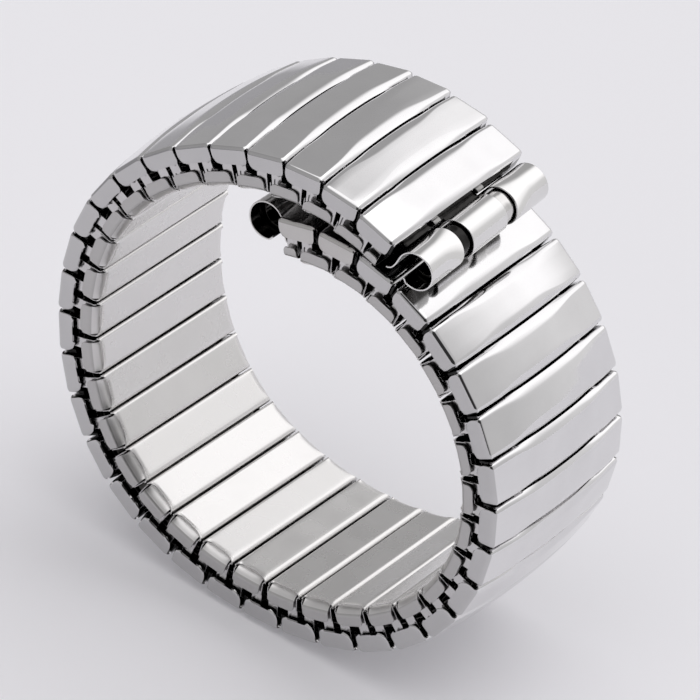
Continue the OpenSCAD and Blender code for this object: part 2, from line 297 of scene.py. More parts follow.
def steel(name, tone, tone_spread, rough, rough_spread, wave, wave_size, grain, grain_stretch,
          unlit=None, hollow=None, end_tone=1):
    """Stainless steel: cloudy tone and roughness, a slow wave of the sheet and a fine grain.

    unlit gives the two heights between which a link's metal turns to a painted shade, away from its
    folded ends; hollow gives the two distances from the Y axis between which a tube's inside turns to
    a painted shade, as does its underside, away from its rim. end_tone multiplies the tone at the
    folded ends or the rim: below 1 it paints shade on the folded ends, above 1 it lifts a material
    with a painted shade back up there.
    """
    material, nodes, links, shader = new_material(name)
    shader.inputs["Metallic"].default_value = 1
    place = nodes.new("ShaderNodeTexCoord")
    info = nodes.new("ShaderNodeObjectInfo")

    shift = nodes.new("ShaderNodeMath")
    shift.operation = "MULTIPLY"
    shift.inputs[1].default_value = CLOUD_SHIFT
    links.new(info.outputs["Random"], shift.inputs[0])

    clouds = nodes.new("ShaderNodeTexNoise")
    clouds.noise_dimensions = "4D"
    clouds.inputs["Scale"].default_value = CLOUD_SCALE
    clouds.inputs["Detail"].default_value = 3
    links.new(place.outputs["Object"], clouds.inputs["Vector"])
    links.new(shift.outputs[0], clouds.inputs["W"])

    colour = nodes.new("ShaderNodeMapRange")
    colour.data_type = "FLOAT_VECTOR"
    low = tuple(c - tone_spread for c in tone)
    high = tuple(c + tone_spread for c in tone)
    colour.inputs[7].default_value = (CLOUD_RANGE[0],) * 3
    colour.inputs[8].default_value = (CLOUD_RANGE[1],) * 3
    colour.inputs[9].default_value = low
    colour.inputs[10].default_value = high
    links.new(clouds.outputs["Fac"], colour.inputs[6])
    # Painted shade: the base colour turns dark in a link's hidden parts, or in a tube's inside and underside,
    # but not at the folded ends or the rim.
    if unlit or hollow:
        parts = nodes.new("ShaderNodeSeparateXYZ")
        links.new(place.outputs["Object"], parts.inputs[0])
        across = nodes.new("ShaderNodeMath")
        across.operation = "ABSOLUTE"
        links.new(parts.outputs["Y"], across.inputs[0])
        flat = nodes.new("ShaderNodeCombineXYZ")
        links.new(parts.outputs["X"], flat.inputs["X"])
        links.new(parts.outputs["Z"], flat.inputs["Z"])
        around = nodes.new("ShaderNodeVectorMath")
        around.operation = "LENGTH"
        links.new(flat.outputs[0], around.inputs[0])

        def fade(source, low_end, high_end):
            node = nodes.new("ShaderNodeMapRange")
            node.interpolation_type = "SMOOTHSTEP"
            node.inputs["From Min"].default_value = low_end * MM
            node.inputs["From Max"].default_value = high_end * MM
            links.new(source, node.inputs["Value"])
            return node.outputs["Result"]

        def blend(factor, at_none, at_full):
            node = nodes.new("ShaderNodeMix")
            node.data_type = "RGBA"
            node.inputs["A"].default_value = at_none
            links.new(factor, node.inputs["Factor"])
            if isinstance(at_full, tuple):
                node.inputs["B"].default_value = at_full
            else:
                links.new(at_full, node.inputs["B"])
            return node.outputs["Result"]

        def combine(operation, a, b):
            node = nodes.new("ShaderNodeMath")
            node.operation = operation
            links.new(a, node.inputs[0])
            links.new(b, node.inputs[1])
            return node.outputs[0]

        if hollow:
            outside = fade(around.outputs["Value"], *hollow)
            unshaded = combine("MINIMUM", outside, fade(parts.outputs["Z"], *TUBE_SHADE))
            dark = PAINTED_TUBE_SHADE
            lit_from = RIM_START
            tint_from = RIM_START
        else:
            unshaded = fade(parts.outputs["Z"], *unlit)
            dark = PAINTED_LINK_SHADE
            lit_from = UNLIT_END
            tint_from = FLAP_START
        lit = combine("MAXIMUM", unshaded, fade(across.outputs[0], *lit_from))
        tint = blend(fade(across.outputs[0], *tint_from), (1, 1, 1, 1), (end_tone, end_tone, end_tone, 1))
        toned = nodes.new("ShaderNodeVectorMath")
        toned.operation = "MULTIPLY"
        links.new(colour.outputs[1], toned.inputs[0])
        links.new(tint, toned.inputs[1])
        links.new(blend(lit, dark, toned.outputs[0]), shader.inputs["Base Color"])
    else:
        links.new(colour.outputs[1], shader.inputs["Base Color"])

    polish = nodes.new("ShaderNodeMapRange")
    polish.inputs["From Min"].default_value = CLOUD_RANGE[0]
    polish.inputs["From Max"].default_value = CLOUD_RANGE[1]
    polish.inputs["To Min"].default_value = rough - rough_spread
    polish.inputs["To Max"].default_value = rough + rough_spread
    links.new(clouds.outputs["Fac"], polish.inputs["Value"])
    links.new(polish.outputs["Result"], shader.inputs["Roughness"])

    slow = nodes.new("ShaderNodeTexNoise")
    slow.noise_dimensions = "4D"
    slow.inputs["Scale"].default_value = wave_size
    slow.inputs["Detail"].default_value = 1
    links.new(place.outputs["Object"], slow.inputs["Vector"])
    links.new(shift.outputs[0], slow.inputs["W"])
    slow_bump = nodes.new("ShaderNodeBump")
    slow_bump.inputs["Strength"].default_value = 1
    slow_bump.inputs["Distance"].default_value = wave
    links.new(slow.outputs["Fac"], slow_bump.inputs["Height"])

    stretch = nodes.new("ShaderNodeMapping")
    stretch.inputs["Scale"].default_value = grain_stretch
    links.new(place.outputs["Object"], stretch.inputs["Vector"])
    fine = nodes.new("ShaderNodeTexNoise")
    fine.inputs["Scale"].default_value = 1
    fine.inputs["Detail"].default_value = 2
    links.new(stretch.outputs["Vector"], fine.inputs["Vector"])
    fine_bump = nodes.new("ShaderNodeBump")
    fine_bump.inputs["Strength"].default_value = 1
    fine_bump.inputs["Distance"].default_value = grain
    links.new(fine.outputs["Fac"], fine_bump.inputs["Height"])
    links.new(slow_bump.outputs["Normal"], fine_bump.inputs["Normal"])
    links.new(fine_bump.outputs["Normal"], shader.inputs["Normal"])
    return material


# The cloudy noise in the steel: its size, the part of its range that shows, and how far it moves on
# from one piece to the next.
CLOUD_SCALE = 350
CLOUD_RANGE = (0.3, 0.7)
CLOUD_SHIFT = 40
# Painted shade: the colour of a link's hidden metal in the gaps between links, and of a tube's inside and
# underside.
PAINTED_LINK_SHADE = (0.02, 0.02, 0.02, 1)
PAINTED_TUBE_SHADE = (0.07, 0.068, 0.064, 1)
# Distances from a link's middle beyond which it has no painted shade, and at which its folded end starts.
UNLIT_END = (9.22, 9.32)
FLAP_START = (9.35, 9.39)
# Where a sliding tube's rim starts, which has no painted shade, and the heights between which its
# underside turns to a painted shade.
RIM_START = (8.5, 8.54)
TUBE_SHADE = (-1.45, -1.2)
TUBE_HOLLOW = (TUBE_R - TUBE_WALL, TUBE_R - TUBE_WALL + 0.04)
LINER_HOLLOW = (1.35, 1.4)

# Each finish holds the sheet's wave and grain; those of caps, tubes and liners also hold their painted shade.
cap_finish_and_shade = {"wave": 1.2e-5, "wave_size": 180, "grain": 2e-7, "grain_stretch": (9000, 900, 9000),
              "unlit": (1.3, 1.6)}
shell_finish = {"wave": 1.5e-5, "wave_size": 200, "grain": 6e-7, "grain_stretch": (9000, 900, 9000)}
tube_finish_and_shade = {"wave": 2e-5, "wave_size": 250, "grain": 4e-7, "grain_stretch": (5000, 2000, 5000),
               "hollow": TUBE_HOLLOW}
liner_finish_and_shade = {"wave": 1.5e-4, "grain": 5e-7, "grain_stretch": (5000, 5000, 5000), "hollow": LINER_HOLLOW}

# The folded ends of caps, shells and pads are darker by an end_tone below 1: a painted shade.
polished = steel("polished_steel", (0.747, 0.741, 0.746), 0.02, 0.08, 0.03, end_tone=0.71, **cap_finish_and_shade)
# Caps under the outer end: a painted shade, lifted back by end_tone at their folded ends.
shaded_cap_steel = steel("painted_shade_cap_steel", (0.2, 0.196, 0.192), 0.01, 0.12, 0.03, end_tone=2.7, **cap_finish_and_shade)
# The shells' walls and the pads turn to a painted shade above their unlit heights.
satin = steel("satin_steel", (0.745, 0.735, 0.728), 0.02, 0.27, 0.04,
              unlit=(-1.7, -1.95), end_tone=0.67, **shell_finish)
pad_steel = steel("pad_steel", (0.7, 0.69, 0.685), 0.02, 0.36, 0.04,
                  unlit=(-1.35, -1.5), end_tone=0.7, **shell_finish)
bow_steel = steel("bow_steel", (0.58, 0.572, 0.575), 0.03, 0.16, 0.04,
                  wave=1e-5, wave_size=500, grain=5e-7, grain_stretch=(6000, 6000, 6000))
# The hidden sleeves, roofs and leaf springs are dark: a painted shade that keeps the gaps between links
# black.
shaded_spring_steel = steel("shaded_spring_steel", (0.16, 0.155, 0.15), 0.02, 0.35, 0.06,
                     wave=1e-5, wave_size=400, grain=5e-7, grain_stretch=(6000, 1500, 6000))
tube_steel = steel("tube_steel", (0.78, 0.775, 0.77), 0.02, 0.12, 0.04, **tube_finish_and_shade)
# The inner end's tubes and the outer end's small hooks: a painted shade, lifted back by end_tone at the
# tubes' rims.
shaded_steel = steel("shaded_tube_steel", (0.3, 0.295, 0.29), 0.02, 0.15, 0.04, end_tone=2.4, **tube_finish_and_shade)
liner_steel = steel("liner_steel", (0.7, 0.69, 0.68), 0.05, 0.1, 0.03, wave_size=700, **liner_finish_and_shade)
# The near liners and the hook plates: the liner steel with a painted shade.
shaded_liner = steel("painted_shade_liner_steel", (0.03, 0.029, 0.028), 0.01, 0.1, 0.03, wave_size=900, **liner_finish_and_shade)


# Cap: a crowned sheet with soft shoulders along its long edges, folded down at both ends.

def crown_height(y):
    return CROWN_Z - CROWN_R + math.sqrt(CROWN_R ** 2 - y ** 2)


FOLD_Z = crown_height(FOLD_Y) - FOLD_R
# How much narrower a cap's half width is at its folds, and where that starts.
NARROWING = 0.08
NARROWING_FROM = 7.6
# The shoulder mid-length and near the ends, and the distances from the middle between which it changes.
SHOULDER_START = (0.98, 1.48)
SHOULDER_TURN = (36, 70)
SHOULDER_CHANGE = (2.5, 7)
SHOULDER_STEPS = 8
# Share of the shoulder's drop that is left in the folded end.
FLAP_DROP = 0.2


def cap_half(y):
    """Half width of the cap, a little less near its folded ends."""
    return CAP_HALF - NARROWING * smooth(abs(y), NARROWING_FROM, FOLD_Y)


def shoulder(y):
    """Start of the shoulder, and its points beyond it: long and soft mid-length, tight near the ends."""
    ends = smooth(abs(y), *SHOULDER_CHANGE)
    start = mix(SHOULDER_START, ends)
    turn = math.radians(mix(SHOULDER_TURN, ends))
    radius = (cap_half(y) - start) / math.sin(turn)
    points = []
    for k in range(1, SHOULDER_STEPS + 1):
        angle = turn * k / SHOULDER_STEPS
        points.append((start + radius * math.sin(angle), radius * (1 - math.cos(angle))))
    return start, points


def cap_section(y, foot):
    """Half section of the cap as (x, drop below the crown), out to the foot of its side wall."""
    start, points = shoulder(y)
    half = [(0, 0), (start / 2, 0), (start, 0)] + points
    return half + [(cap_half(y), foot)]


def both_sides(half):
    """The whole section from its half."""
    return [(-x, drop) for x, drop in reversed(half[1:])] + half


def flap_half_width(z, bottom, half, radius):
    """Half width of a flap with a rounded free corner, at height z above its edge at bottom."""
    depth = radius - abs(z - bottom)
    if depth <= 0:
        return half
    return half - radius + math.sqrt(max(0, radius ** 2 - depth ** 2))


def cap_shape():
    """The cap, row by row from one folded end's edge to the other's."""
    shape = Shape()
    rows = []
    crown_rows = 32
    for k in range(crown_rows // 2 + 1):
        y = FOLD_Y * k / (crown_rows // 2)
        z = crown_height(y)
        rows.append([(x, y, z - drop) for x, drop in both_sides(cap_section(y, z - WALL_Z))])
    fold_rows = 8
    slope = math.degrees(math.asin(FOLD_Y / CROWN_R))
    for k in range(1, fold_rows + 1):
        turned = math.radians(slope + (90 - slope) * k / fold_rows)
        narrow = 1 + (FLAP_HALF / cap_half(FOLD_Y) - 1) * math.sin(turned)
        ease = 1 - (1 - FLAP_DROP) * math.sin(turned)
        row = []
        for x, drop in both_sides(cap_section(FOLD_Y, 0)):
            reach = FOLD_R - drop * ease
            row.append((x * narrow, FOLD_Y + reach * math.sin(turned), FOLD_Z + reach * math.cos(turned)))
        row[0] = row[1]
        row[-1] = row[-2]
        rows.append(row)
    flap_rows = 12
    for k in range(1, flap_rows + 1):
        share = k / flap_rows
        z = FLAP_Z + (FOLD_Z - FLAP_Z) * math.cos(math.pi / 2 * share)
        row = []
        for x, drop in both_sides(cap_section(FOLD_Y, 0)):
            half = flap_half_width(z, FLAP_Z, FLAP_HALF, FLAP_R_LEFT if x < 0 else FLAP_R_RIGHT)
            row.append((x / cap_half(FOLD_Y) * half, WIDTH / 2 - FLAP_DROP * drop, z))
        row[0] = row[1]
        row[-1] = row[-2]
        rows.append(row)
    other_end = [[(x, -y, z) for x, y, z in row] for row in rows[1:]]
    rows = list(reversed(other_end)) + rows
    columns = len(rows[0])
    crown_first = len(other_end) - crown_rows // 2
    crown_last = crown_first + crown_rows

    def keep(r, c):
        return 0 < c < columns - 2 or crown_first <= r < crown_last

    shape.grid(rows, keep)
    shape.faces = [tuple(reversed(face)) for face in shape.faces]
    return shape


# Inner shell: a wrist plate with rounded long edges and side walls, which ends in an arc at each
# end; a pad comes out from under the arc and turns up into the folded end.

EDGE_R_LEFT = 0.18
EDGE_R_RIGHT = 0.36
# The walls are plain above this height.
EDGE_TOP = -1.2
# Distance of the plate's corners from the middle, and how its end arches back from them.
PLATE_END = 9.04
ARC_DEPTH = 0.47
ARC_POWER_LEFT = 6
ARC_POWER_RIGHT = 2.3
# Rows of the plate from its middle, and shares of the way from the last of them to its end.
PLATE_ROWS = (0, 2, 4, 6, 7.5, SLEEVE_Y)
PLATE_END_ROWS = (0.35, 0.7, 0.9, 1)
# The plate's last part dips away from the wrist, but for its long edges.
PLATE_DIP = 0.05
DIP_MARGIN = 0.15


def arc_depth(x):
    """How far the wrist plate's end stands back from its corners."""
    share = min(1, abs(x) / SHELL_HALF)
    return ARC_DEPTH * (1 - share ** (ARC_POWER_RIGHT if x > 0 else ARC_POWER_LEFT))


def plate_section():
    """Section of the plate and its walls, as (x, z) from the left wall's top to the right one's."""
    section = [(-SHELL_HALF, ROOF_Z), (-SHELL_HALF, EDGE_TOP)]
    steps = 6
    flat = 10
    low = -SHELL_HALF + EDGE_R_LEFT
    high = SHELL_HALF - EDGE_R_RIGHT
    for k in range(steps + 1):
        angle = math.pi / 2 * k / steps
        z = WRIST_Z + EDGE_R_LEFT * (1 - math.sin(angle))
        section.append((low - EDGE_R_LEFT * math.cos(angle), z))
    for k in range(1, flat):
        section.append((low + (high - low) * k / flat, WRIST_Z))
    for k in range(steps + 1):
        angle = math.pi / 2 * k / steps
        z = WRIST_Z + EDGE_R_RIGHT * (1 - math.cos(angle))
        section.append((high + EDGE_R_RIGHT * math.sin(angle), z))
    section += [(SHELL_HALF, EDGE_TOP), (SHELL_HALF, ROOF_Z)]
    return section


def shell_shape():
    """Wrist plate with its walls; the walls end with the sleeve, the plate goes on to its arcs."""
    shape = Shape()
    section = plate_section()
    columns = len(section)
    rows = [[(x, y, z) for x, z in section] for y in PLATE_ROWS]
    wall_rows = len(rows) - 1
    for share in PLATE_END_ROWS:
        row = []
        for x, z in section:
            reach = PLATE_END - arc_depth(x)
            dip = PLATE_DIP * smooth(share, 0.3, 1) if abs(x) < SHELL_HALF - DIP_MARGIN else 0
            row.append((x, SLEEVE_Y + (reach - SLEEVE_Y) * share, z + dip))
        rows.append(row)
    other_end = [[(x, -y, z) for x, y, z in row] for row in rows[1:]]
    rows = list(reversed(other_end)) + rows
    centre = len(other_end)

    def keep(r, c):
        if c in (0, 1, columns - 3, columns - 2):
            return centre - wall_rows <= r < centre + wall_rows
        return True

    shape.grid(rows, keep)
    return shape


# The pad starts hidden under the plate; mid-width and at its corners it rises from these distances by
# these heights, and bends into the flap, which is flat from its foot on.
PAD_HIDDEN = 8
PAD_Z = -2.02
PAD_START = (8.5, 8.83)
PAD_RISE = (0.42, 0.32)
PAD_ROUND = 1.7
PAD_CORNER_LIFT = 0.06
BEND_Y = 9.27
BEND_FIRST = 40
PAD_FOOT = -1.38
INNER_FLAP_R = 0.5


def pad_shape():
    """Pad and folded end at +Y and -Y; the pad is a low pillow, and a tight bend leads to the flap."""
    shape = Shape()
    half_across = [0.25, 0.5, 0.75, 0.9, 0.97, 1]
    across = [-a for a in reversed(half_across)] + [0] + half_across
    rows = [[(INNER_FLAP_HALF * a, PAD_HIDDEN, PAD_Z) for a in across]]
    slant_rows = 9
    for k in range(slant_rows + 1):
        share = k / slant_rows
        row = []
        for a in across:
            side = abs(a) ** 4
            y = mix((mix(PAD_START, side), BEND_Y), share)
            z = PAD_Z + mix(PAD_RISE, side) * share ** PAD_ROUND + PAD_CORNER_LIFT * side * share
            row.append((INNER_FLAP_HALF * a, y, z))
        rows.append(row)
    bend_rows = 6
    first = math.radians(BEND_FIRST)
    for k in range(1, bend_rows + 1):
        angle = first + (math.pi / 2 - first) * k / bend_rows
        out = (math.sin(angle) - math.sin(first)) / (1 - math.sin(first))
        up = 1 - math.cos(angle) / math.cos(first)
        edge = rows[slant_rows + 1]
        rows.append([(x, mix((y, WIDTH / 2), out), mix((z, PAD_FOOT), up)) for x, y, z in edge])
    flap_rows = 10
    for k in range(1, flap_rows + 1):
        share = k / flap_rows
        z = mix((INNER_FLAP_Z, PAD_FOOT), math.cos(math.pi / 2 * share))
        half = flap_half_width(z, INNER_FLAP_Z, INNER_FLAP_HALF, INNER_FLAP_R)
        rows.append([(half * a, WIDTH / 2, z) for a in across])
    shape.grid(rows)
    far = [[(x, -y, z) for x, y, z in row] for row in reversed(rows)]
    shape.grid(far)
    return shape


# A wall's end is a strip along the wrist plate that turns up outside the bow: its far and near faces,
# its lower and upper edges, the strip's top and the sheet's thickness.
TAB_FAR = 9.29
TAB_NEAR = 9.17
TAB_LOW = -1.98
TAB_TOP = -0.66
TAB_STRIP = -1.78
TAB_TH = 0.09


def shell_tabs():
    """The wall ends beside each folded end, outside the bows."""
    shape = Shape()
    outline = rounded([(SLEEVE_Y, TAB_LOW), (TAB_FAR, TAB_LOW), (TAB_FAR, TAB_TOP), (TAB_NEAR, TAB_TOP),
                       (TAB_NEAR, TAB_STRIP), (SLEEVE_Y, TAB_STRIP)], [0, 0.25, 0.05, 0.04, 0.1, 0])
    for sx in (-1, 1):
        for sy in (-1, 1):
            tab = Shape()
            tab.prism(outline, SHELL_HALF - TAB_TH, SHELL_HALF)
            start = len(shape.points)
            shape.points.extend((sx * x, sy * y, z) for y, x, z in tab.points)
            order = 1 if sx * sy < 0 else -1
            shape.faces.extend(tuple(start + k for k in face[::order]) for face in tab.faces)
    return shape


def roof_shape():
    """The inner link's side towards the outer link."""
    shape = Shape()
    half = SHELL_HALF - 0.02
    roof = [(-half, ROOF_Z - SHELL_TH), (half, ROOF_Z - SHELL_TH), (half, ROOF_Z), (-half, ROOF_Z)]
    shape.prism(roof, -SLEEVE_Y, SLEEVE_Y)
    return shape


# Sleeve, leaf springs and bows.

def sleeve_shape():
    """Rectangular tube under the cap."""
    shape = Shape()
    outer = rounded([(-SLEEVE_HALF, SLEEVE_LOW), (SLEEVE_HALF, SLEEVE_LOW), (SLEEVE_HALF, SLEEVE_TOP),
                     (-SLEEVE_HALF, SLEEVE_TOP)], [SLEEVE_R] * 4, 3)
    shape.grid([[(x, y, z) for x, z in outer] for y in (-SLEEVE_Y, 0, SLEEVE_Y)], closed=True)
    return shape


# Heights of a leaf spring's ends and of its middle, and the distances from the middle between which it
# goes from one to the other.
OUTER_LEAF = (0.86, 1.32)
INNER_LEAF = (-1.07, -1.78)
LEAF_BEND = (6.15, 3.6)


def leaf_shape(heights):
    """Leaf spring with its ends at one height and its middle at another."""
    shape = Shape()
    rows = []
    steps = 24
    for k in range(steps + 1):
        y = (SLEEVE_Y - 0.2) * (2 * k / steps - 1)
        z = mix(heights, smooth(abs(y), *LEAF_BEND))
        rows.append([(x, y, z) for x in (-LEAF_HALF, 0, LEAF_HALF)])
    shape.grid(rows)
    return shape


# Top of a bow's foot, outside and where it joins the plate, the edges of its arm in the sleeve, and
# the lower faces of its two arms.
BOW_FOOT = (-0.6, -0.55)
SLEEVE_ARM = (0.45, 0.95)
SLEEVE_ARM_Z = 0.42
INNER_ARM_Z = -1


def bow_shape(hook):
    """Bow on the +X, +Y side; hook is the near and far edge of the arm in the inner link."""
    shape = Shape()
    far = max(hook[1], BOW_OUT)
    plate = rounded([(BOW_IN, BOW_LOW), (far, BOW_LOW), (far, BOW_FOOT[0]), (BOW_OUT, BOW_FOOT[1]),
                     (BOW_OUT, BOW_TOP), (BOW_IN, BOW_TOP)], [0.12, 0.15, 0.1, 0.08, 0.1, 0.1], 3)
    shape.prism(plate, BOW_Y, BOW_Y + BOW_TH)
    for (x0, x1), z in ((SLEEVE_ARM, SLEEVE_ARM_Z), (hook, INNER_ARM_Z)):
        shape.prism([(x0, z), (x1, z), (x1, z + ARM_TH), (x0, z + ARM_TH)], SLEEVE_Y - 1, BOW_Y + BOW_TH / 2)
    return shape


# The half-length inner link: its ends along the band, its lower face, its sheet, the radius of its
# folds, the radius of its folded ends' corners as a share of its half length, and the gap to its box.
HALF_LINK = (0.12, 1.38)
HALF_LINK_Z = -1.5
HALF_LINK_TH = 0.15
HALF_LINK_FOLD = 0.5
HALF_LINK_CORNER = 0.25 / 0.63
HALF_LINK_BOX = 0.22


def half_shell_shape():
    """Half-length inner link under the outermost bows, on the +X side."""
    shape = Shape()
    fold = WIDTH / 2 - HALF_LINK_FOLD
    rows = [(y, HALF_LINK_Z) for y in (0, 6, fold)]
    for k in range(1, 6):
        angle = math.pi / 2 * k / 5
        rise = HALF_LINK_FOLD * (1 - math.cos(angle))
        rows.append((fold + HALF_LINK_FOLD * math.sin(angle), HALF_LINK_Z + rise))
    for z in (-0.85, -0.7, -0.62, INNER_FLAP_Z):
        rows.append((WIDTH / 2, z))
    section = [mix(HALF_LINK, k / 6) for k in range(7)]
    centre = sum(HALF_LINK) / 2
    near = []
    for y, z in rows:
        half = flap_half_width(z, INNER_FLAP_Z, 1, HALF_LINK_CORNER) if y > WIDTH / 2 - 0.01 else 1
        near.append([(centre + (x - centre) * half, y, z) for x in section])
    far = [[(x, -y, z) for x, y, z in row] for row in near[1:]]
    shape.grid(list(reversed(far)) + near)
    x0, x1 = HALF_LINK
    low = HALF_LINK_Z + HALF_LINK_BOX
    shape.prism([(x0, low), (x1, low), (x1, ROOF_Z), (x0, ROOF_Z)], -SLEEVE_Y, SLEEVE_Y)
    return shape


# Rolled end tubes, drawn round the tube's middle with the band on the +X side.

# The lip of a rolled tube, from its free edge to the tube, as (x, z).
LIP = [(2.42, -1.68), (2.24, -1.6), (2.05, -1.42), (1.93, -1.15), (1.86, -0.8), (1.83, -0.4), (1.82, 0)]
# Angles round the tube at which its sheet starts and ends, how far its last part rolls inwards and
# from which share of the way, and the width of the row beside a rim.
TUBE_ROLL = (12, 294)
ROLL_IN = 0.2
ROLL_IN_FROM = 0.93
RIM_ROW = 0.06


def tube_shape(y0, y1, lip_start=0):
    """A sheet rolled round the tube; its first edge curls out towards the band as a lip."""
    outline = LIP[lip_start:]
    steps = 54
    for k in range(steps + 1):
        angle = math.radians(mix(TUBE_ROLL, k / steps))
        radius = TUBE_R - ROLL_IN * smooth(k / steps, ROLL_IN_FROM, 1)
        outline.append((radius * math.cos(angle), radius * math.sin(angle)))
    stations = [y0, y0 + RIM_ROW, (y0 + y1) / 2, y1 - RIM_ROW, y1]
    shape = Shape()
    shape.grid([[(x, y, z) for y in stations] for x, z in outline])
    return shape


LINER_ROLL = (20, 282)


def liner_shape(y0, y1):
    """Part of the liner, a smaller rolled tube that takes the spring bar."""
    shape = Shape()
    steps = 48
    rows = []
    for k in range(steps + 1):
        angle = math.radians(mix(LINER_ROLL, k / steps))
        x = LINER_R * math.cos(angle)
        z = LINER_R * math.sin(angle)
        rows.append([(x, y, z) for y in (y0, (y0 + y1) / 2, y1)])
    shape.grid(rows)
    return shape


# The connector's small hooks: their length, their height away from the tube and at it, and their half
# width.
CLIP_LEN = 0.5
CLIP_HIGH = 0.42
CLIP_TIP = 0.3
CLIP_HALF = 0.45


def clip_shape(x, y, z):
    """A small hook of the connector, beside the gap between two tubes."""
    shape = Shape()
    outline = [(x, z), (x + CLIP_LEN, z), (x + CLIP_LEN, z + CLIP_HIGH), (x, z + CLIP_TIP)]
    shape.prism(rounded(outline, [0.08, 0.05, 0.14, 0.1], 3), y - CLIP_HALF, y + CLIP_HALF)
    return shape


# Meshes shared by equal pieces.
cap_mesh = mesh_of("cap", cap_shape(), polished, CAP_TH, 0.09, 3)
shaded_cap_mesh = mesh_of("covered_cap", cap_shape(), shaded_cap_steel, CAP_TH, 0.09, 3)
shell_mesh = mesh_of("shell", shell_shape(), satin, SHELL_TH, 0.055, 3)
pad_mesh = mesh_of("pad", pad_shape(), pad_steel, SHELL_TH, 0.058, 3)
tabs_mesh = mesh_of("shell_tabs", shell_tabs(), bow_steel, 0, 0.025, 2)
# Sleeves, roofs and leaf springs carry a painted shade.
roof_mesh = mesh_of("roof", roof_shape(), shaded_spring_steel, 0, 0.02, 1)
sleeve_mesh = mesh_of("sleeve", sleeve_shape(), shaded_spring_steel, SLEEVE_TH, 0.02, 1)
outer_leaf_mesh = mesh_of("outer_leaf", leaf_shape(OUTER_LEAF), shaded_spring_steel, LEAF_TH, 0.015, 1)
inner_leaf_mesh = mesh_of("inner_leaf", leaf_shape(INNER_LEAF), shaded_spring_steel, LEAF_TH, 0.015, 1)
half_shell_mesh = mesh_of("half_shell", half_shell_shape(), satin, HALF_LINK_TH, 0.03, 2)
# Edges of a bow's arm in a whole inner link, and in the half-length one at each end of the band.
LONG_HOOK = (PITCH / 2 - 0.53, PITCH / 2 - 0.27)
SHORT_HOOK = (0.55, 0.81)
bow_meshes = {}
for sx in (-1, 1):
    for sy in (-1, 1):
        for kind, hook in (("long", LONG_HOOK), ("short", SHORT_HOOK)):
            shape = bow_shape(hook).mirrored(sx, sy)
            bow_meshes[sx, sy, kind] = mesh_of(f"bow_{kind}_{sx}_{sy}", shape, bow_steel, 0, 0.035, 2)

SIDES = {(-1, 1): "near_a", (1, 1): "near_b", (-1, -1): "far_a", (1, -1): "far_b"}
# The bows of these links stand this much further out from the link's middle.
BOW_SLIP = 0.15
SLIPPED_LINKS = range(11, OUTER_COUNT)
# Caps from this link on lie in the shade under the outer end; their material paints that shade in.
FIRST_COVERED = 36

for i in range(1, OUTER_COUNT + 1):
    node = f"link_{i:02d}"
    matrix = link_matrix(i)
    end_side = {1: -1, OUTER_COUNT: 1}.get(i, 0)
    top_mesh = shaded_cap_mesh if i >= FIRST_COVERED else cap_mesh
    piece(f"cap_{i:02d}", top_mesh, matrix, node, node)
    piece(f"sleeve_{i:02d}", sleeve_mesh, matrix, node, node)
    piece(f"outer_spring_{i:02d}", outer_leaf_mesh, matrix, node, node)
    for (sx, sy), place in SIDES.items():
        kind = "short" if sx == end_side else "long"
        slip = BOW_SLIP * sx if i in SLIPPED_LINKS else 0
        bow_matrix = matrix @ Matrix.Translation(Vector((slip, 0, 0)) * MM)
        piece(f"bow_{i:02d}_{place}", bow_meshes[sx, sy, kind], bow_matrix, node, node)
    if end_side:
        mesh = half_shell_mesh
        if end_side < 0:
            shape = half_shell_shape().mirrored(-1, 1)
            mesh = mesh_of("half_shell_mirrored", shape, satin, HALF_LINK_TH, 0.03, 2)
        piece(f"half_shell_{i:02d}", mesh, matrix, node, node)

for j in range(1, OUTER_COUNT):
    node = f"inner_link_{j:02d}" if j in SPLIT_LINKS else f"link_{j:02d}"
    matrix = knuckle_matrix(j)
    piece(f"shell_{j:02d}", shell_mesh, matrix, node, node)
    piece(f"shell_pads_{j:02d}", pad_mesh, matrix, node, node)
    piece(f"shell_tabs_{j:02d}", tabs_mesh, matrix, node, node)
    piece(f"shell_roof_{j:02d}", roof_mesh, matrix, node, node)
    piece(f"inner_spring_{j:02d}", inner_leaf_mesh, matrix, node, node)


# End fittings.

# The outer end's tubes stand off by this much along and above the band, and lean by this angle.
TUBE_SHIFT = (0.16, 0.34)
TUBE_LEAN = math.radians(1.2)


def end_matrix(i):
    """Frame of an end's tubes; the shapes for the inner end are mirrored, so both drawings match."""
    if i == 1:
        spot = Vector((-OUTER_TUBE[0] + TUBE_SHIFT[0], 0, OUTER_TUBE[1] + TUBE_SHIFT[1])) * MM
        lean = Matrix.Rotation(TUBE_LEAN, 4, "Z") @ Matrix.Rotation(-TUBE_LEAN, 4, "X")
        return link_matrix(i) @ Matrix.Translation(spot) @ lean
    return link_matrix(i) @ Matrix.Translation(Vector((INNER_TUBE[0], 0, INNER_TUBE[1])) * MM)


def end_piece(name, shape, i, body, node, material, thickness, bevel):
    """Builds one piece of an end fitting in its place."""
    if i != 1:
        shape = shape.mirrored(-1, 1)
    mesh = mesh_of(name, shape, material, thickness, bevel, 3)
    return piece(name, mesh, end_matrix(i), body, node)


# The connector's plate: its height in the end link, its thickness, its half width, its hook's height
# and the hook's distance from the link's middle; and where the small hooks are.
PLATE_Z = 0.74
PLATE_TH = 0.2
PLATE_HALF = 7.6
HOOK_HIGH = 0.5
HOOK_X = 1.2
CLIP_PLACES = (("near", 3.4), ("far", -2.9))
CLIP_AT = (1.8, 0.72)

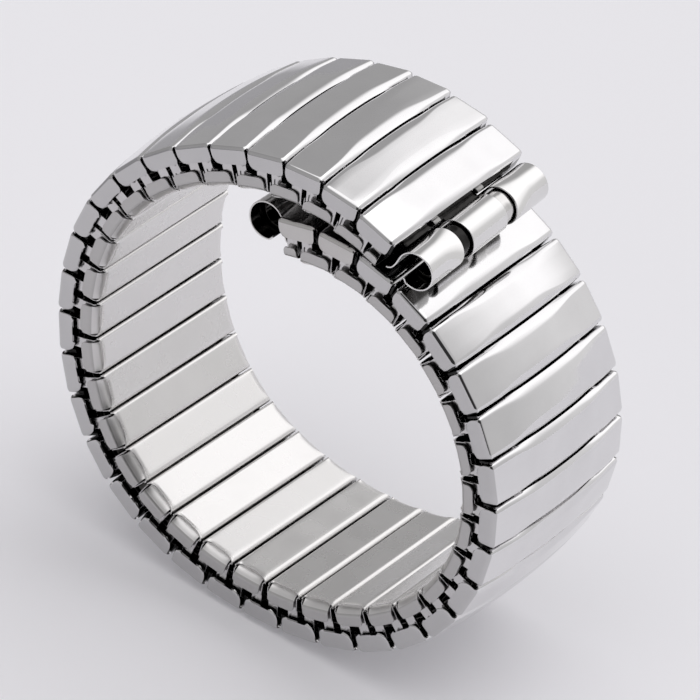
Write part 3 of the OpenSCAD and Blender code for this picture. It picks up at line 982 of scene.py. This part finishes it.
for end, i in (("outer", 1), ("inner", OUTER_COUNT)):
    body = f"link_{i:02d}"
    tube_x, tube_z = OUTER_TUBE if i == 1 else INNER_TUBE
    # The inner end's tubes carry a painted shade.
    metal = tube_steel if i == 1 else shaded_steel
    lip_start = 0 if i == 1 else 1
    half = MIDDLE_LEN / 2
    far = half + TUBE_GAP
    connector = f"{end}_end_connector"
    middle_tube = tube_shape(-half, half, lip_start)
    end_piece(f"{end}_middle_tube", middle_tube, i, body, connector, metal, TUBE_WALL, 0.05)
    plate = Shape()
    hook = tube_x - HOOK_X
    low = PLATE_Z - tube_z
    top = low + PLATE_TH
    plate.prism([(LINER_R, low), (hook, low), (hook, top), (LINER_R, top)], -half + 0.1, half - 0.1)
    neck = TUBE_R + 0.1
    inside = hook - PLATE_TH
    plate.prism([(neck, low), (hook, low), (hook, low + HOOK_HIGH), (inside, low + HOOK_HIGH), (inside, top),
                 (neck, top)], -PLATE_HALF, PLATE_HALF)
    # The hook plate carries a painted shade.
    end_piece(f"{end}_hook_plate", plate, i, body, connector, shaded_liner, 0, 0.04)
    if i == 1:
        for place, y in CLIP_PLACES:
            clip = clip_shape(CLIP_AT[0], y, CLIP_AT[1])
            # The small hooks carry a painted shade.
            end_piece(f"{end}_clip_{place}", clip, i, body, connector, shaded_steel, 0, 0.05)
    # The near liner carries a painted shade; the far one does not.
    for place, hand, inner_metal in (("near", 1, shaded_liner), ("far", -1, liner_steel)):
        y0, y1 = sorted((0, hand * LINER_LEN / 2))
        liner = liner_shape(y0, y1)
        node = f"{end}_end_liner"
        end_piece(f"{end}_liner_{place}", liner, i, body, node, inner_metal, LINER_WALL, 0.03)
        y0, y1 = sorted((hand * far, hand * (far + SLIDE_LEN)))
        node = f"{end}_end_tube_{place}"
        tube = tube_shape(y0, y1, lip_start)
        end_piece(f"{end}_tube_{place}", tube, i, node, node, metal, TUBE_WALL, 0.06)


# Floor, world light and camera.

# Floor colour near and far and where it changes; the dimming of the floor as the steel mirrors it, a painted
# shade, and its start and end; and the floor's own lift.
FLOOR_NEAR = (0.8, 0.79, 0.82, 1)
FLOOR_FAR = (0.79, 0.785, 0.815, 1)
FLOOR_CHANGE = (-0.06, 0.06)
MIRRORED_DIM = 0.5
MIRRORED_FROM = (0.1, 0.14)
FLOOR_LIFT = 0.125


def floor_material():
    """Pale floor: a little darker towards the back; on the far left the steel mirrors it dimmer, a painted
    shade.
    """
    material, nodes, links, shader = new_material("pale_floor")
    shader.inputs["Roughness"].default_value = 0.85
    shader.inputs["Specular IOR Level"].default_value = 0.15
    place = nodes.new("ShaderNodeTexCoord")
    path = nodes.new("ShaderNodeLightPath")

    def along_floor(direction, start, end):
        """Smooth rise from 0 to 1 between two distances along a direction."""
        dot = nodes.new("ShaderNodeVectorMath")
        dot.operation = "DOT_PRODUCT"
        dot.inputs[1].default_value = direction
        links.new(place.outputs["Object"], dot.inputs[0])
        rise = nodes.new("ShaderNodeMapRange")
        rise.interpolation_type = "SMOOTHSTEP"
        rise.inputs["From Min"].default_value = start
        rise.inputs["From Max"].default_value = end
        links.new(dot.outputs["Value"], rise.inputs["Value"])
        return rise.outputs["Result"]

    ramp = nodes.new("ShaderNodeValToRGB")
    ramp.color_ramp.elements[0].color = FLOOR_NEAR
    ramp.color_ramp.elements[1].color = FLOOR_FAR
    links.new(along_floor((0, 1, 0), *FLOOR_CHANGE), ramp.inputs["Fac"])
    # Painted shade: the floor turns darker in glossy rays on the far left.
    mirrored = nodes.new("ShaderNodeMath")
    mirrored.operation = "MULTIPLY"
    links.new(along_floor((-1, 0, 0), *MIRRORED_FROM), mirrored.inputs[0])
    links.new(path.outputs["Is Glossy Ray"], mirrored.inputs[1])
    far_left = nodes.new("ShaderNodeMapRange")
    far_left.inputs["To Min"].default_value = 1
    far_left.inputs["To Max"].default_value = MIRRORED_DIM
    links.new(mirrored.outputs[0], far_left.inputs["Value"])
    colour = nodes.new("ShaderNodeVectorMath")
    colour.operation = "SCALE"
    links.new(ramp.outputs["Color"], colour.inputs[0])
    links.new(far_left.outputs["Result"], colour.inputs["Scale"])
    links.new(colour.outputs[0], shader.inputs["Base Color"])

    seen = nodes.new("ShaderNodeMath")
    seen.operation = "ADD"
    seen.use_clamp = True
    links.new(path.outputs["Is Camera Ray"], seen.inputs[0])
    links.new(path.outputs["Is Glossy Ray"], seen.inputs[1])
    lift = nodes.new("ShaderNodeMath")
    lift.operation = "MULTIPLY"
    lift.inputs[1].default_value = FLOOR_LIFT
    links.new(seen.outputs[0], lift.inputs[0])
    dimmed = nodes.new("ShaderNodeMath")
    dimmed.operation = "MULTIPLY"
    links.new(lift.outputs[0], dimmed.inputs[0])
    links.new(far_left.outputs["Result"], dimmed.inputs[1])
    shader.inputs["Emission Color"].default_value = (0.98, 0.97, 1, 1)
    links.new(dimmed.outputs[0], shader.inputs["Emission Strength"])
    return material


floor_mesh = bpy.data.meshes.new("floor")
REACH = 2.5
floor_mesh.from_pydata([(-REACH, -REACH, 0), (REACH, -REACH, 0), (REACH, REACH, 0), (-REACH, REACH, 0)],
                       [], [(0, 1, 2, 3)])
floor_mesh.materials.append(floor_material())
floor = bpy.data.objects.new("floor", floor_mesh)
bpy.context.scene.collection.objects.link(floor)


# The studio round the band. ROOM is the brightness of its walls by share of the way round, from -Y by
# -X, +Y and +X to -Y again. The edges are in degrees of azimuth (0 along +Y, 90 along +X) and of height; each
# pair is where the light or the shade ends, and where it is full.
ROOM = [(0, 0.6), (0.25, 0.45), (0.33, 0.42), (0.41, 0.42), (0.44, 0.7), (0.6, 0.85), (0.65, 0.62),
        (0.75, 0.6), (1, 0.6)]
BOX_LEFT = (-35, -13)
BOX_RIGHT = (50, 22)
BOX_LOW = (17, 27)
BOX_HIGH = (75, 62)
BOX_GLOW = 0.55
CEILING = (54, 62)
CEILING_GLOW = 0.85
DARK_LEFT = (112, 122)
DARK_RIGHT = (180, 172)
DARK_LOW = (-2, 4)
DARK_HIGH = (52, 46)
DARKNESS = 0.92


def world_light():
    """A soft box behind and above, a darker wall on its left, a pale room, and a dark part in front."""
    world = bpy.data.worlds.new("studio")
    bpy.context.scene.world = world
    world.use_nodes = True
    nodes = world.node_tree.nodes
    links = world.node_tree.links
    back = nodes["Background"]
    place = nodes.new("ShaderNodeTexCoord")
    parts = nodes.new("ShaderNodeSeparateXYZ")
    links.new(place.outputs["Generated"], parts.inputs[0])

    def math_node(operation, a, b=None, clamp=False):
        node = nodes.new("ShaderNodeMath")
        node.operation = operation
        node.use_clamp = clamp
        for socket, value in zip(node.inputs, (a, b)):
            if value is None:
                continue
            if isinstance(value, (int, float)):
                socket.default_value = value
            else:
                links.new(value, socket)
        return node.outputs[0]

    degrees = 180 / math.pi
    azimuth = math_node("MULTIPLY", math_node("ARCTAN2", parts.outputs["X"], parts.outputs["Y"]), degrees)
    height = math_node("MULTIPLY", math_node("ARCSINE", parts.outputs["Z"]), degrees)

    def step(value, edge):
        node = nodes.new("ShaderNodeMapRange")
        node.interpolation_type = "SMOOTHSTEP"
        node.inputs["From Min"].default_value = edge[0]
        node.inputs["From Max"].default_value = edge[1]
        links.new(value, node.inputs["Value"])
        return node.outputs["Result"]

    def window(left, right, low, high):
        """1 within the four edges, 0 outside them."""
        wide = math_node("MULTIPLY", step(azimuth, left), step(azimuth, right))
        return math_node("MULTIPLY", wide, math_node("MULTIPLY", step(height, low), step(height, high)))

    def ramp(value, stops):
        """Brightness by a value that runs from 0 to 1."""
        node = nodes.new("ShaderNodeValToRGB")
        elements = node.color_ramp.elements
        elements[0].position, level = stops[0]
        elements[0].color = (level, level, level, 1)
        elements[1].position, level = stops[-1]
        elements[1].color = (level, level, level, 1)
        for position, level in stops[1:-1]:
            element = elements.new(position)
            element.color = (level, level, level, 1)
        links.new(value, node.inputs["Fac"])
        return node.outputs["Color"]

    turn = math_node("DIVIDE", math_node("ADD", azimuth, 180), 360)
    glow = math_node("MULTIPLY", window(BOX_LEFT, BOX_RIGHT, BOX_LOW, BOX_HIGH), BOX_GLOW)
    total = math_node("ADD", ramp(turn, ROOM), glow)
    total = math_node("ADD", total, math_node("MULTIPLY", step(height, CEILING), CEILING_GLOW))
    patch = math_node("MULTIPLY", window(DARK_LEFT, DARK_RIGHT, DARK_LOW, DARK_HIGH), DARKNESS)
    total = math_node("MULTIPLY", total, math_node("SUBTRACT", 1, patch))
    links.new(total, back.inputs["Strength"])
    back.inputs["Color"].default_value = (1, 0.992, 0.998, 1)


world_light()

FRAME_PX = 700
CAMERA_PX = 7725.3
SENSOR = 36
CAMERA_AT = (275.96, -464.42, 401.1)
CAMERA_RIGHT = (0.80063, 0.58351, 0.13605)
CAMERA_DOWN = (0.42981, -0.40112, -0.80893)
CAMERA_AHEAD = (-0.41744, 0.70613, -0.57195)
lens = bpy.data.cameras.new("camera")
lens.sensor_width = SENSOR
lens.lens = CAMERA_PX / FRAME_PX * SENSOR
lens.clip_start = 0.01
camera = bpy.data.objects.new("camera", lens)
right = Vector(CAMERA_RIGHT)
up = -Vector(CAMERA_DOWN)
behind = -Vector(CAMERA_AHEAD)
turned = Matrix((right, up, behind)).transposed().to_4x4()
camera.matrix_world = Matrix.Translation(Vector(CAMERA_AT) * MM) @ turned
bpy.context.scene.collection.objects.link(camera)
bpy.context.scene.camera = camera
bpy.context.scene.view_settings.view_transform = "Standard"
